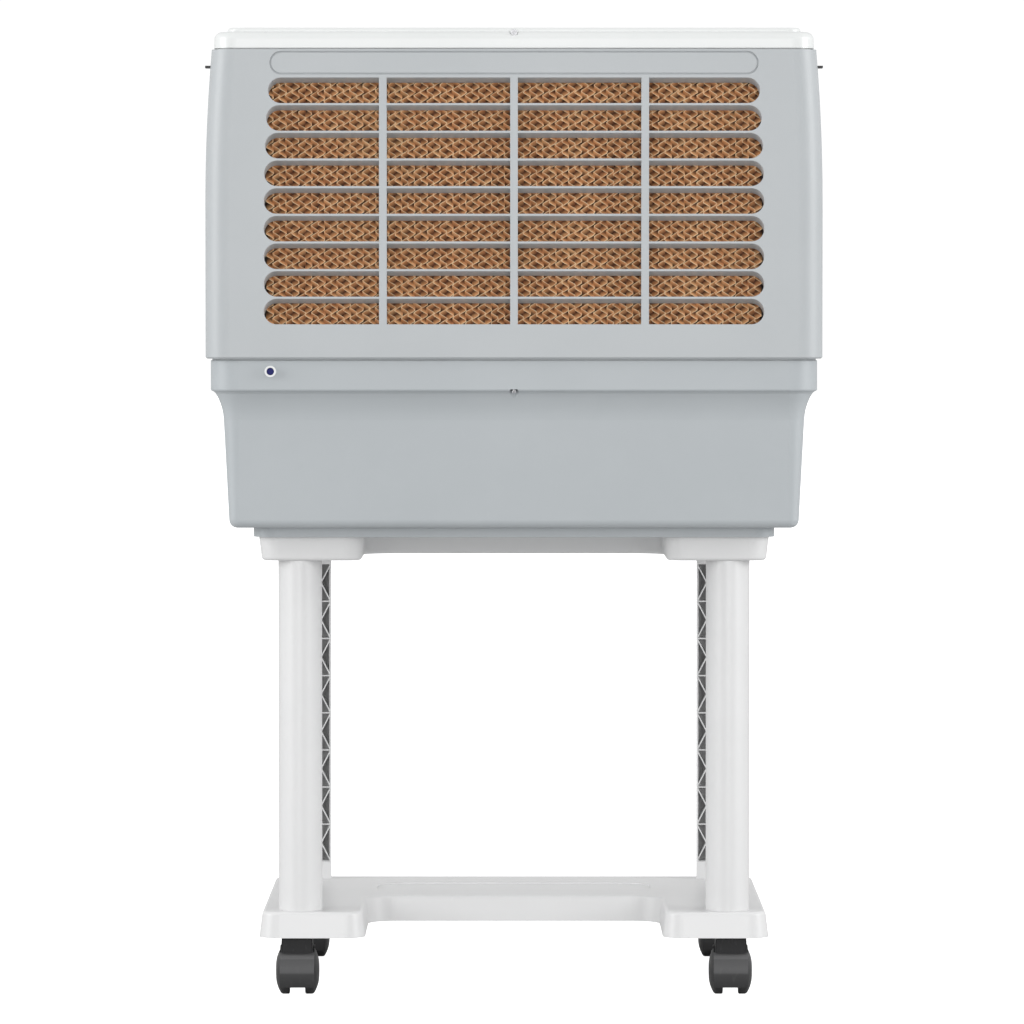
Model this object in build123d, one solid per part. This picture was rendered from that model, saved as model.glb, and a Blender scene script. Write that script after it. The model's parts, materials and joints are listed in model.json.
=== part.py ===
from build123d import *
import math
import os

# An evaporative (pad) window cooler standing on a castor trolley.
# Frame: +Z up, millimetres, origin on the floor under the middle of the trolley.
# The pad side with the water inlet faces -Y ("rear"), the air outlet faces +Y ("front").

# ---------------------------------------------------------------- driving dimensions

# Castors
WHEEL_R = 25.0              # wheel radius, so the axle is this high above the floor
WHEEL_WIDTH = 14.4
WHEEL_GAP = 16.6            # between the two wheels of one castor
CASTOR_X = 228.9            # stem positions
CASTOR_Y = 184.0
CASTOR_TRAIL = 12.0         # axle behind the stem
CASTOR_HEIGHT = 62.1        # floor to the underside of the tray
HOOD_R = 27.0
HOOD_WALL = 1.4
HOOD_WIDTH = 36.3
HOOD_LOW_Z = 8.6            # lower end of the hood's curved wall
WEB_HALF = 7.5              # half the thickness of the web between the two wheels
HEAD_Z = 45.7               # lower face of the block that swivels under the tray
HEAD_WIDTH = 34.0
HEAD_DEPTH = 25.0
AXLE_R = 3.0
WHEEL_BORE_R = 3.05
PIVOT_R = 4.0
PIVOT_HOLE_R = 4.05
STEM_R = 5.5

# Trays: one moulding, used upright below and turned over above
TRAY_HEIGHT = 27.3
TRAY_WIDE_X = 268.9         # half-width at the open side
TRAY_NARROW_X = 265.5       # half-width at the closed side
TRAY_WIDE_Y = 206.0
TRAY_WALL = 3.0
TRAY_CORNER_R = 22.0
PAD_INNER_X = 157.0         # inner side of the two arms that reach to the rear
BEAM_REAR_Y = -25.0         # where the cross beam starts
NOTCH_R = 30.0
LOWER_TRAY_Z = CASTOR_HEIGHT
UPPER_TRAY_Z = 459.9
TRAY_TOP_Z = UPPER_TRAY_Z + TRAY_HEIGHT

# Legs
LEG_X = 226.0
LEG_WIDTH = 46.1
LEG_DEPTH = 36.0
LEG_FLAT_Y = 164.0          # flat, ribbed side, facing the middle of the trolley
LEG_WALL = 2.0
LEG_CELLS = 8
LEG_CELL = 41.4
LEG_POCKET_Z = 109.0        # lower end of the ribbed pocket
RIB = 1.4
RIB_SINK = 3.5              # how far the bracing stands back from the flat side
LEG_SCREW_OFFSET = 13.0
LEG_SCREW_R = 2.3

# Tank
TANK_BOTTOM_Z = 495.6
TANK_WAIST_Z = 608.6        # where the wall begins to flare out to the rim
RIM_LOW_Z = 638.5
RIM_TOP_Z = 670.6
TANK_BOTTOM_X = 297.6
TANK_WAIST_X = 303.5
TANK_FLARE_X = 311.8
RIM_X = 317.0
RIM_Y = 258.0
RIM_CORNER_R = 30.0
TANK_WALL = 3.0
FOOT_X = 274.0
FOOT_Y = 213.0
FOOT_Z = 485.0

# Upper housing
PANEL_BOTTOM_Z = 672.6
PANEL_TOP_Z = 994.2
SHOULDER_Z = 833.6          # the sides lean in above this height
BODY_X = 322.0
BODY_TOP_X = 315.0
BODY_Y = 263.0
BODY_CORNER_R = 26.0
SKIN = 3.0
SEAM = 0.6
REAR_SEAM_Y = -215.0
FRONT_SEAM_Y = 215.0

# Louvres
SLOT_TOP_Z = 964.5          # top edge of the uppermost slot
SLOT_PITCH = 28.7
SLOT_HEIGHT = 26.4
SLOT_COUNT = 9
SLOT_HALF_X = 260.0
LOUVRE_DEPTH = 18.0
LOUVRE_DROP = 5.5
BAR_X = 136.3               # spacing of the upright bars
BAR_WIDTH = 8.0
BLANK_Z = 979.9             # middle of the closed pocket above the slots

# Lid
LID_Z = 995.3
LID_SHOULDER_Z = 1012.6
LID_TOP_Z = 1017.1
LID_SCREW_Z = LID_SHOULDER_Z - 1.0
LID_X = 312.5
LID_Y = 260.5
LID_PLATEAU_INSET = 14.0
LID_WALL = 3.0

# Cooling pads and water distribution
PAD_BOTTOM_Z = 695.6
PAD_TOP_Z = 977.6
PAD_THICK = 40.0
REAR_PAD_Y = -243.0         # outer face of the rear pad
REAR_PAD_X = 262.0
SIDE_PAD_X = 302.0          # outer face of a side pad
SIDE_PAD_Y = (-165.0, 150.0)
DISTRIBUTOR_Z = 979.6
DISTRIBUTOR_HEIGHT = 24.0

# Air path
FAN_Z = 838.6
FAN_R = 128.0
FAN_Y = 148.0
SHROUD_R = 134.0
SHROUD_Y = 170.0
POST_R = 146.0              # radius on which the four posts stand
POST_ANGLES = (45, 135, 225, 315)
BRACKET_Y = 114.5
SHAFT_R = 5.0
MOTOR_R = 52.0
MOTOR_Y = (30.0, 112.0)
OUTLET_X = 170.0            # half-width of the outlet duct
OUTLET_Z = (702.6, 974.6)
DUCT_WALL = 2.5
SWING_VANE_X = (-102.0, -34.0, 34.0, 102.0)
SWING_AXIS_Y = 200.0
SWING_CRANK = 13.0
TILT_VANE_Z = (770.6, 838.6, 906.6)
TILT_AXIS_Y = 243.0
VANE_PIN_R = 2.5
VANE_HOLE_R = 2.55

# Controls, on the front, at the user's right
CONTROL_X = -245.0
CONTROL_Z = 838.6
CONTROL_WIDTH = 76.0
CONTROL_HEIGHT = 206.0
CONTROL_FLOOR_Y = 247.0
KNOB_Z = (900.6, 838.6, 776.6)
KNOB_R = 19.0

# Water inlet
INLET_X = -253.5
INLET_Z = 659.4
NIPPLE_R = 5.98
NIPPLE_SHANK_R = 5.5        # the thinner part within the tank's wall
NIPPLE_HOLE_R = 5.52
NIPPLE_BORE_R = 3.9

# Float valve: its arm hinges below the nipple's line
FLOAT_PIVOT_Y = -226.0
FLOAT_PIVOT_Z = 653.6
FLOAT_ARM = 96.0
FLOAT_DROP = 32.0           # degrees below level when hanging at its stop
FLOAT_R = 27.0
HINGE_R = 2.0

# Drain, low on the front wall
DRAIN_X = 205.0
DRAIN_Z = 516.6
DRAIN_R = 8.0
DRAIN_WALL_Y = RIM_Y - RIM_X + TANK_BOTTOM_X + 1.1

# Pump and its riser hose
PUMP_FLOOR_Z = TRAY_TOP_Z + TANK_WALL
NOZZLE_Z = 554.6
HOSE_X = 200.0
HOSE_Y = -138.0
HOSE_TOP_Z = 991.6
HOSE_R = 6.5
HOSE_BORE_R = 4.5
HOSE_BEND_R = 44.0

# Side latches and the cord gland
LATCH_Z = 976.6
LATCH_THICK = 2.3
LATCH_Y = (-238.0, -218.0)
GLAND_Y = 185.0
GLAND_Z = 957.6
GLAND_HOLE_R = 6.5
GLAND_BORE_R = 4.0

parts = {}


def save(name, shape):
    """Keep one node: its solids go into one STEP file."""
    solids = shape.solids()
    parts[name] = solids[0] if len(solids) == 1 else Compound(children=list(solids))


def cylinder_y(radius, y0, y1, x, z):
    """A cylinder lying along Y from y0 to y1."""
    middle = (y0 + y1) / 2
    return Pos(x, middle, z) * Rot(90, 0, 0) * Cylinder(radius, abs(y1 - y0))


def cylinder_z(radius, z0, z1, x, y):
    """An upright cylinder from z0 to z1."""
    return Pos(x, y, (z0 + z1) / 2) * Cylinder(radius, z1 - z0)


def cylinder_x(radius, x0, x1, y, z):
    """A cylinder lying along X from x0 to x1."""
    return Pos((x0 + x1) / 2, y, z) * Rot(0, 90, 0) * Cylinder(radius, x1 - x0)


def block(x0, x1, y0, y1, z0, z1):
    """A box given by its two corners."""
    return Pos((x0 + x1) / 2, (y0 + y1) / 2, (z0 + z1) / 2) * Box(x1 - x0, y1 - y0, z1 - z0)


def slab(half_x, half_y, radius, z0, z1):
    """An upright block with rounded corners, centred on the origin."""
    return Pos(0, 0, z0) * extrude(RectangleRounded(2 * half_x, 2 * half_y, radius), z1 - z0)


# ---------------------------------------------------------------- castors

def castor_head(x, y):
    """The wide block on top of a hood: it turns round the stem and clears the wheels."""
    height = CASTOR_HEIGHT - 0.7 - HEAD_Z
    plan = RectangleRounded(HEAD_WIDTH, HEAD_DEPTH, 2)
    head = Pos(x, y + 1.5, HEAD_Z) * extrude(plan, height, taper=3)
    axle_y = y + CASTOR_TRAIL
    head -= cylinder_x(HOOD_R - HOOD_WALL, x - 20, x - WEB_HALF, axle_y, WHEEL_R)
    head -= cylinder_x(HOOD_R - HOOD_WALL, x + WEB_HALF, x + 20, axle_y, WHEEL_R)
    return head - cylinder_z(9.6, CASTOR_HEIGHT - 3.2, 70.0, x, y)


def castor(x, y, name):
    """One twin-wheel castor: a hood that swivels on its stem, an axle and two wheels."""
    axle_y = y + CASTOR_TRAIL
    outer = cylinder_x(HOOD_R, x - HOOD_WIDTH / 2, x + HOOD_WIDTH / 2, axle_y, WHEEL_R)
    inner = cylinder_x(HOOD_R - HOOD_WALL, x - HOOD_WIDTH, x + HOOD_WIDTH, axle_y, WHEEL_R)
    front_cut = block(x - 30, x + 30, axle_y + 10, axle_y + 40, 0, 60)
    low_cut = block(x - 30, x + 30, axle_y - 40, axle_y + 40, -5, HOOD_LOW_Z)
    under_cut = block(x - 30, x + 30, axle_y, axle_y + 40, 0, WHEEL_R)
    hood = outer - inner - front_cut - low_cut - under_cut
    web = cylinder_x(HOOD_R - 0.5, x - WEB_HALF, x + WEB_HALF, axle_y, WHEEL_R)
    web -= low_cut + front_cut
    hood = hood + web + castor_head(x, y)
    hood -= cylinder_z(PIVOT_HOLE_R, 30.0, 70.0, x, y)
    hood -= cylinder_x(AXLE_R, x - 30, x + 30, axle_y, WHEEL_R)
    save(f"castor_{name}_hood", hood)
    save(f"castor_{name}_axle", cylinder_x(AXLE_R, x - 21.0, x + 21.0, axle_y, WHEEL_R))
    wheels = [wheel(x, axle_y, side) for side in (-1, 1)]
    save(f"castor_{name}_wheels", wheels[0] + wheels[1])


def wheel(x, axle_y, side):
    """One wheel: a rounded tread, a domed outer face and a bore that runs on the axle."""
    inner = WHEEL_GAP / 2
    outer = inner + WHEEL_WIDTH
    outline = Polyline((inner, WHEEL_BORE_R), (inner, 24.0), (inner + 1, WHEEL_R), (inner + 6.5, WHEEL_R))
    outline += ThreePointArc((inner + 6.5, WHEEL_R), (inner + 8.4, 24.5), (inner + 9.8, 23.0))
    outline += ThreePointArc((inner + 9.8, 23.0), (inner + 13.1, 15.5), (outer, WHEEL_BORE_R))
    outline += Line((outer, WHEEL_BORE_R), (inner, WHEEL_BORE_R))
    body = revolve(make_face(outline), Axis.X)
    if side < 0:
        body = mirror(body, Plane.YZ)
    return Pos(x, axle_y, WHEEL_R) * body


def castor_stem(x, y):
    """The steel stem: a collar under the tray, a shank in its socket and a pivot below."""
    pivot = cylinder_z(PIVOT_R, 36.0, CASTOR_HEIGHT - 2.5, x, y)
    collar = cylinder_z(9.0, CASTOR_HEIGHT - 2.5, CASTOR_HEIGHT, x, y)
    shank = cylinder_z(STEM_R, CASTOR_HEIGHT, CASTOR_HEIGHT + 20.0, x, y)
    return pivot + collar + shank


# ---------------------------------------------------------------- trolley

def tray_outline(half_x, half_y, inset):
    """The U-shaped plan, open towards the rear, shrunk all round by inset."""
    plan = Rectangle(2 * (half_x - inset), 2 * (half_y - inset))
    notch_depth = BEAM_REAR_Y + inset + half_y + 5
    notch = Rectangle(2 * (PAD_INNER_X + inset), notch_depth)
    plan -= Pos(0, BEAM_REAR_Y + inset - notch_depth / 2) * notch
    inner = [v for v in plan.vertices() if abs(v.Y - BEAM_REAR_Y - inset) < 0.01]
    plan = fillet(inner, NOTCH_R)
    outer = [v for v in plan.vertices() if abs(abs(v.Y) - half_y + inset) < 0.01]
    return fillet(outer, TRAY_CORNER_R - inset)


def leg_screw_places():
    """Two screws for each leg end, one either side of the castor stem."""
    places = []
    for side_x in (-1, 1):
        for side_y in (-1, 1):
            for offset in (-LEG_SCREW_OFFSET, LEG_SCREW_OFFSET):
                places.append((side_x * LEG_X + offset, side_y * (LEG_FLAT_Y + 8)))
    return places


def tray():
    """One tray, closed side up, its open side at z = 0."""
    draft = math.degrees(math.atan((TRAY_WIDE_X - TRAY_NARROW_X) / TRAY_HEIGHT))
    outer = extrude(tray_outline(TRAY_WIDE_X, TRAY_WIDE_Y, 0), TRAY_HEIGHT, taper=draft)
    top_edges = [e for e in outer.edges() if e.bounding_box().min.Z > TRAY_HEIGHT - 0.1]
    outer = fillet(top_edges, 4.0)
    hollow = extrude(tray_outline(TRAY_WIDE_X, TRAY_WIDE_Y, TRAY_WALL),
                     TRAY_HEIGHT - TRAY_WALL, taper=draft)
    shell = outer - hollow
    inside = extrude(tray_outline(TRAY_WIDE_X, TRAY_WIDE_Y, 1.0), TRAY_HEIGHT - 1, taper=draft)
    ribs = Part()
    for y in (-60.0, 60.0, 130.0):
        ribs += block(-TRAY_WIDE_X, TRAY_WIDE_X, y - 1, y + 1, 6, TRAY_HEIGHT - 1)
    for x in (-LEG_X, -190, -95, 0, 95, 190, LEG_X):
        ribs += block(x - 1, x + 1, -TRAY_WIDE_Y, TRAY_WIDE_Y, 6, TRAY_HEIGHT - 1)
    shell += ribs & inside
    for side_x in (-1, 1):
        for side_y in (-1, 1):
            boss = cylinder_z(9.0, 0.0, TRAY_HEIGHT - 1, side_x * CASTOR_X, side_y * CASTOR_Y)
            shell += boss
            shell -= cylinder_z(STEM_R, -1.0, 20.0, side_x * CASTOR_X, side_y * CASTOR_Y)
    for x, y in leg_screw_places():
        shell += cylinder_z(5.5, TRAY_HEIGHT - 12, TRAY_HEIGHT - 1, x, y)
        shell -= cylinder_z(2.6, TRAY_HEIGHT - 13, TRAY_HEIGHT + 1, x, y)
    pocket = Pos(0, 77.5, TRAY_HEIGHT - 1.5) * extrude(RectangleRounded(300, 99, 34), 5)
    return shell - pocket


def leg(side_x, side_y):
    """One D-section leg: rounded outside, and an open, braced pocket on its flat side."""
    length = UPPER_TRAY_Z - LOWER_TRAY_Z - TRAY_HEIGHT
    base_z = LOWER_TRAY_Z + TRAY_HEIGHT
    half = LEG_WIDTH / 2

    def d_section(wall):
        curve = EllipticalCenterArc((0, 0), half - wall, LEG_DEPTH - wall, 0, arc_size=180)
        return make_face(curve + Line((wall - half, 0), (half - wall, 0)))

    bar = extrude(d_section(0), length)
    pocket_low = LEG_POCKET_Z - base_z
    pocket_height = LEG_CELLS * LEG_CELL
    pocket = Pos(0, 0, pocket_low) * extrude(d_section(LEG_WALL), pocket_height)
    lattice = Rectangle(RIB, pocket_height)
    cell_half = half / 2 - RIB / 2
    brace_angle = math.degrees(math.atan2(cell_half, LEG_CELL / 2))
    for cell in range(LEG_CELLS):
        middle = (cell + 0.5) * LEG_CELL - pocket_height / 2
        lattice += Pos(0, middle - LEG_CELL / 2) * Rectangle(LEG_WIDTH, RIB)
        for half_cell in (-1, 1):
            for lean in (-1, 1):
                brace = Rot(0, 0, lean * brace_angle) * Rectangle(RIB, LEG_CELL * 1.2)
                lattice += Pos(half_cell * half / 2, middle) * brace
    centre_z = pocket_low + pocket_height / 2
    bracing = Pos(0, RIB_SINK, 0) * extrude(Plane.XZ * Pos(0, centre_z) * lattice, -LEG_DEPTH)
    result = bar - pocket + (pocket & bracing)
    for offset in (-LEG_SCREW_OFFSET, LEG_SCREW_OFFSET):
        result -= cylinder_z(LEG_SCREW_R, -1, 14, offset, 8)
        result -= cylinder_z(LEG_SCREW_R, length - 14, length + 1, offset, 8)
    if side_y < 0:
        result = Rot(0, 0, 180) * result
    return Pos(side_x * LEG_X, side_y * LEG_FLAT_Y, base_z) * result


def leg_screw(x, y, seat_z, up):
    """A pan-head screw through a tray into a leg end; up is +1 when it points upwards."""
    head = cylinder_z(4.5, 0, 2.5, 0, 0) if up < 0 else cylinder_z(4.5, -2.5, 0, 0, 0)
    shank = cylinder_z(LEG_SCREW_R, 0, 22, 0, 0) if up > 0 else cylinder_z(LEG_SCREW_R, -22, 0, 0, 0)
    slot = block(-3.2, 3.2, -0.5, 0.5, -3, -1.5) if up > 0 else block(-3.2, 3.2, -0.5, 0.5, 1.5, 3)
    return Pos(x, y, seat_z) * (head + shank - slot)


def trolley():
    """Trays, legs, their screws and the four castors."""
    moulding = tray()
    save("lower_tray", Pos(0, 0, LOWER_TRAY_Z) * moulding)
    turned = Rot(0, 180, 0) * moulding
    save("upper_tray", Pos(0, 0, TRAY_TOP_Z) * turned)
    screws = []
    for x, y in leg_screw_places():
        screws.append(leg_screw(x, y, LOWER_TRAY_Z + TRAY_HEIGHT - 12, 1))
        screws.append(leg_screw(x, y, UPPER_TRAY_Z + 12, -1))
    save("leg_screws", Compound(children=screws))
    stems = []
    for side_y, end in ((-1, "rear"), (1, "front")):
        for side_x, hand in ((-1, "left"), (1, "right")):
            save(f"leg_{end}_{hand}", leg(side_x, side_y))
            castor(side_x * CASTOR_X, side_y * CASTOR_Y, f"{end}_{hand}")
            stems.append(castor_stem(side_x * CASTOR_X, side_y * CASTOR_Y))
    save("castor_stems", Compound(children=stems))


# ---------------------------------------------------------------- tank

def ring_of(profile, half_x, half_y):
    """Carry a profile round a rectangle of corner centres (+-half_x, +-half_y).

    The profile is drawn in the XZ plane, with x the distance outwards from the corner centres.
    """
    ring = None
    along_y = extrude(profile, half_y, both=True)
    along_x = extrude(profile, half_x, both=True)
    corner = revolve(profile, Axis.Z, 90)
    for quarter in range(4):
        turn = Rot(0, 0, 90 * quarter)
        if quarter % 2 == 0:
            side = turn * Pos(half_x, 0, 0) * along_y
            piece = side + turn * Pos(half_x, half_y, 0) * corner
        else:
            side = turn * Pos(half_y, 0, 0) * along_x
            piece = side + turn * Pos(half_y, half_x, 0) * corner
        ring = piece if ring is None else ring + piece
    return ring


def tank_wall_profile(centre):
    """The tank wall's section, from the rounded foot of the wall up to the rim's inner lip."""
    bottom = TANK_BOTTOM_X - centre
    waist = TANK_WAIST_X - centre
    flare = TANK_FLARE_X - centre
    rim = RIM_X - centre
    lean = (TANK_WAIST_X - TANK_BOTTOM_X, TANK_WAIST_Z - TANK_BOTTOM_Z)
    outside = ThreePointArc((bottom - 8, TANK_BOTTOM_Z), (bottom - 2.2, TANK_BOTTOM_Z + 2.4),
                            (bottom + 0.4, TANK_BOTTOM_Z + 8))
    outside += Line((bottom + 0.4, TANK_BOTTOM_Z + 8), (waist, TANK_WAIST_Z))
    outside += TangentArc((waist, TANK_WAIST_Z), (flare, RIM_LOW_Z - 2.4), tangent=lean)
    outside += Line((flare, RIM_LOW_Z - 2.4), (rim - 2.5, RIM_LOW_Z))
    outside += TangentArc((rim - 2.5, RIM_LOW_Z), (rim, RIM_LOW_Z + 2.5), tangent=(1, 0))
    outside += Line((rim, RIM_LOW_Z + 2.5), (rim, RIM_TOP_Z))
    inside = Polyline((rim, RIM_TOP_Z), (rim - 14, RIM_TOP_Z), (rim - 14, RIM_TOP_Z - 3),
                      (rim - 3, RIM_TOP_Z - 3), (rim - 3, RIM_LOW_Z + 4), (flare - 3, RIM_LOW_Z))
    inside += TangentArc((waist - 3, TANK_WAIST_Z + 1), (flare - 3, RIM_LOW_Z), tangent=lean)
    inside += Line((waist - 3, TANK_WAIST_Z + 1), (bottom - 2.6, TANK_BOTTOM_Z + 9))
    inside += Line((bottom - 2.6, TANK_BOTTOM_Z + 9), (bottom - 8, TANK_BOTTOM_Z + 3))
    inside += Line((bottom - 8, TANK_BOTTOM_Z + 3), (bottom - 8, TANK_BOTTOM_Z))
    return Plane.XZ * make_face(outside + inside)


def tank():
    """The water tank: drafted walls, a flared rim band, and a sump that forms the foot."""
    centre = RIM_X - RIM_CORNER_R
    centre_y = RIM_Y - RIM_CORNER_R
    body = ring_of(tank_wall_profile(centre), centre, centre_y)
    floor_x = TANK_BOTTOM_X - 7
    floor_y = floor_x - RIM_X + RIM_Y
    corner = floor_x - centre
    body += slab(floor_x, floor_y, corner, TANK_BOTTOM_Z, TANK_BOTTOM_Z + TANK_WALL)
    body += slab(FOOT_X, FOOT_Y, 24, FOOT_Z, TANK_BOTTOM_Z + 1)
    body -= slab(FOOT_X - 3, FOOT_Y - 3, 21, TRAY_TOP_Z + TANK_WALL, TANK_BOTTOM_Z + 10)
    body -= slab(TRAY_WIDE_X + 0.5, TRAY_WIDE_Y + 0.5, TRAY_CORNER_R + 0.5, FOOT_Z - 1, TRAY_TOP_Z)
    body -= cylinder_y(NIPPLE_HOLE_R, -RIM_Y - 1, -RIM_Y + 6, INLET_X, INLET_Z)
    body -= cylinder_y(DRAIN_R, 200, RIM_Y, DRAIN_X, DRAIN_Z)
    notch = cylinder_z(4.7, RIM_LOW_Z - 6, RIM_LOW_Z + 2.2, 0, -RIM_Y + 3.0)
    return body - notch


def drain_plug():
    """A flanged plug pushed into the drain hole from outside."""
    shank = cylinder_y(DRAIN_R - 0.05, DRAIN_WALL_Y - 7, DRAIN_WALL_Y + 2, DRAIN_X, DRAIN_Z)
    flange = cylinder_y(12.0, DRAIN_WALL_Y + 1.4, DRAIN_WALL_Y + 4.0, DRAIN_X, DRAIN_Z)
    grip = block(DRAIN_X - 8, DRAIN_X + 8, DRAIN_WALL_Y + 3, DRAIN_WALL_Y + 10,
                 DRAIN_Z - 1.6, DRAIN_Z + 1.6)
    return shank + flange + grip


# ---------------------------------------------------------------- housing panels

def housing_block(inset, z0, z1):
    """The housing as one solid block: upright sides that lean in above the shoulder."""
    half = BODY_X - inset
    top = BODY_TOP_X - inset
    edge = Line((half, z0), (half, SHOULDER_Z))
    edge += TangentArc((half, SHOULDER_Z), (top, PANEL_TOP_Z), tangent=(0, 1))
    edge += Line((top, PANEL_TOP_Z), (top, z1)) if z1 > PANEL_TOP_Z else []
    other = mirror(edge, Plane.YZ)
    outline = edge + other + Line((-half, z0), (half, z0)) + Line((-top, z1), (top, z1))
    solid = extrude(Plane.XZ * make_face(outline), BODY_Y - inset, both=True)
    upright = [e for e in solid.edges() if e.bounding_box().size.Z > 50]
    return fillet(upright, BODY_CORNER_R - inset)


def stadium_prism(half_width, height, top_z, depth, drop):
    """A long round-ended hole that runs inwards along +Y from y = 0 and drops on its way."""
    sketch = SlotOverall(2 * half_width, height)
    face = Plane.XZ * Pos(0, top_z - height / 2) * sketch
    start = Pos(0, -1.0, drop / depth) * face
    return extrude(start, depth + 2.0, dir=Vector(0, depth, -drop).normalized())


def louvre_holes(half_widths, first, count, bars):
    """Slots one above the other, each split by upright bars, in front of y = 0."""
    holes = []
    run = math.hypot(LOUVRE_DEPTH, LOUVRE_DROP) + 2
    for i in range(count):
        top = SLOT_TOP_Z - (first + i) * SLOT_PITCH
        hole = stadium_prism(half_widths[i], SLOT_HEIGHT, top, run, LOUVRE_DROP)
        for x in bars:
            hole -= block(x - BAR_WIDTH / 2, x + BAR_WIDTH / 2, -5, run + 5, 600, 1000)
        holes.append(hole)
    return holes


def slot_half_width(i):
    """The slots grow a little wider towards the middle of the panel."""
    return SLOT_HALF_X - 4.6 * max(0.0, 1 - i / 4.5) ** 2


def panel_shell():
    """All four panels as one skin, with the inner flange that sits on the tank's rim."""
    outer = housing_block(0, PANEL_BOTTOM_Z, PANEL_TOP_Z)
    low = [e for e in outer.edges() if e.bounding_box().max.Z < PANEL_BOTTOM_Z + 0.01]
    outer = chamfer(low, 1.6)
    shell = outer - housing_block(SKIN, PANEL_BOTTOM_Z - 5, PANEL_TOP_Z + 5)
    flange = slab(BODY_X - 1.5, BODY_Y - 1.5, BODY_CORNER_R - 1.5, RIM_TOP_Z + 2.4, RIM_TOP_Z + 5)
    flange += slab(RIM_X - 1.5, RIM_Y - 1.5, RIM_CORNER_R - 1.5, RIM_TOP_Z, RIM_TOP_Z + 3)
    flange -= slab(RIM_X - 13, RIM_Y - 13, RIM_CORNER_R - 13, RIM_TOP_Z - 1, RIM_TOP_Z + 6)
    return outer, shell + flange


def rear_panel(outer, shell):
    """The rear panel: nine louvred slots, a blank pocket above them and a shelf for the pad."""
    panel = shell & block(-400, 400, -300, REAR_SEAM_Y, 600, 1100)
    low_z = SLOT_TOP_Z - SLOT_COUNT * SLOT_PITCH - LOUVRE_DROP + 0.5
    panel += block(-265, 265, -BODY_Y + 1, -BODY_Y + LOUVRE_DEPTH, low_z, SLOT_TOP_Z + 2.3)
    widths = [slot_half_width(i) for i in range(SLOT_COUNT)]
    for hole in louvre_holes(widths, 0, SLOT_COUNT, (-BAR_X, 0, BAR_X)):
        panel -= Pos(0, -BODY_Y, 0) * hole
    pocket_plan = Pos(0, BLANK_Z) * SlotOverall(507.6, 24.2)
    groove = Plane.XZ * (pocket_plan - Pos(0, BLANK_Z) * SlotOverall(504.6, 21.2))
    panel -= Pos(0, -BODY_Y + 1.4, 0) * extrude(groove, 3)
    panel -= Pos(0, -BODY_Y + 0.5, 0) * extrude(Plane.XZ * pocket_plan, 3)
    shelf_top = PAD_BOTTOM_Z - 0.5
    inner_y = REAR_PAD_Y + PAD_THICK
    panel += block(-266, 266, -BODY_Y + 1, inner_y + 3, shelf_top - 2.5, shelf_top)
    panel += block(-266, 266, inner_y + 0.5, inner_y + 3, shelf_top - 2, shelf_top + 8)
    for side in (-1, 1):
        x0 = min(side * 263.5, side * 266)
        panel += block(x0, x0 + 2.5, -BODY_Y + 1, inner_y + 3, shelf_top - 2, PAD_TOP_Z)
    for side in (-1, 1):
        x0 = min(side * 305, side * 330)
        panel -= block(x0, x0 + 25, LATCH_Y[0] - 0.2, LATCH_Y[1] + 0.2,
                       LATCH_Z - LATCH_THICK / 2 - 0.3, LATCH_Z + LATCH_THICK / 2 + 0.3)
    return panel


def side_panel(shell, side):
    """A side panel with seven louvred slots and a shelf for its pad."""
    cut = block(0, 400, REAR_SEAM_Y + SEAM, FRONT_SEAM_Y - SEAM, 600, 1100)
    if side < 0:
        cut = mirror(cut, Plane.YZ)
    panel = shell & cut
    low_z = SLOT_TOP_Z - SLOT_COUNT * SLOT_PITCH - LOUVRE_DROP + 0.5
    backing = block(BODY_X - LOUVRE_DEPTH, BODY_X - 2, -160, 145, low_z, SLOT_TOP_Z - 2 * SLOT_PITCH + 2.3)
    shelf_top = PAD_BOTTOM_Z - 0.5
    inner_x = SIDE_PAD_X - PAD_THICK
    y0, y1 = SIDE_PAD_Y
    backing += block(inner_x - 3, BODY_X - 1.5, y0 - 3, y1 + 3, shelf_top - 2.5, shelf_top)
    backing += block(inner_x - 3, inner_x - 0.5, y0 - 3, y1 + 3, shelf_top - 2, shelf_top + 8)
    for y in (y0 - 3, y1 + 0.5):
        backing += block(inner_x - 3, BODY_X - 8, y, y + 2.5, shelf_top - 2, PAD_TOP_Z)
    backing = backing if side > 0 else mirror(backing, Plane.YZ)
    panel += backing
    for hole in louvre_holes([148.0] * 7, 2, 7, (-75.0, 0, 75.0)):
        turned = Pos(BODY_X, -7.5, 0) * Rot(0, 0, 90) * hole
        panel -= turned if side > 0 else mirror(turned, Plane.YZ)
    if side < 0:
        panel -= cylinder_x(GLAND_HOLE_R, -330, -300, GLAND_Y, GLAND_Z)
    return panel


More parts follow.
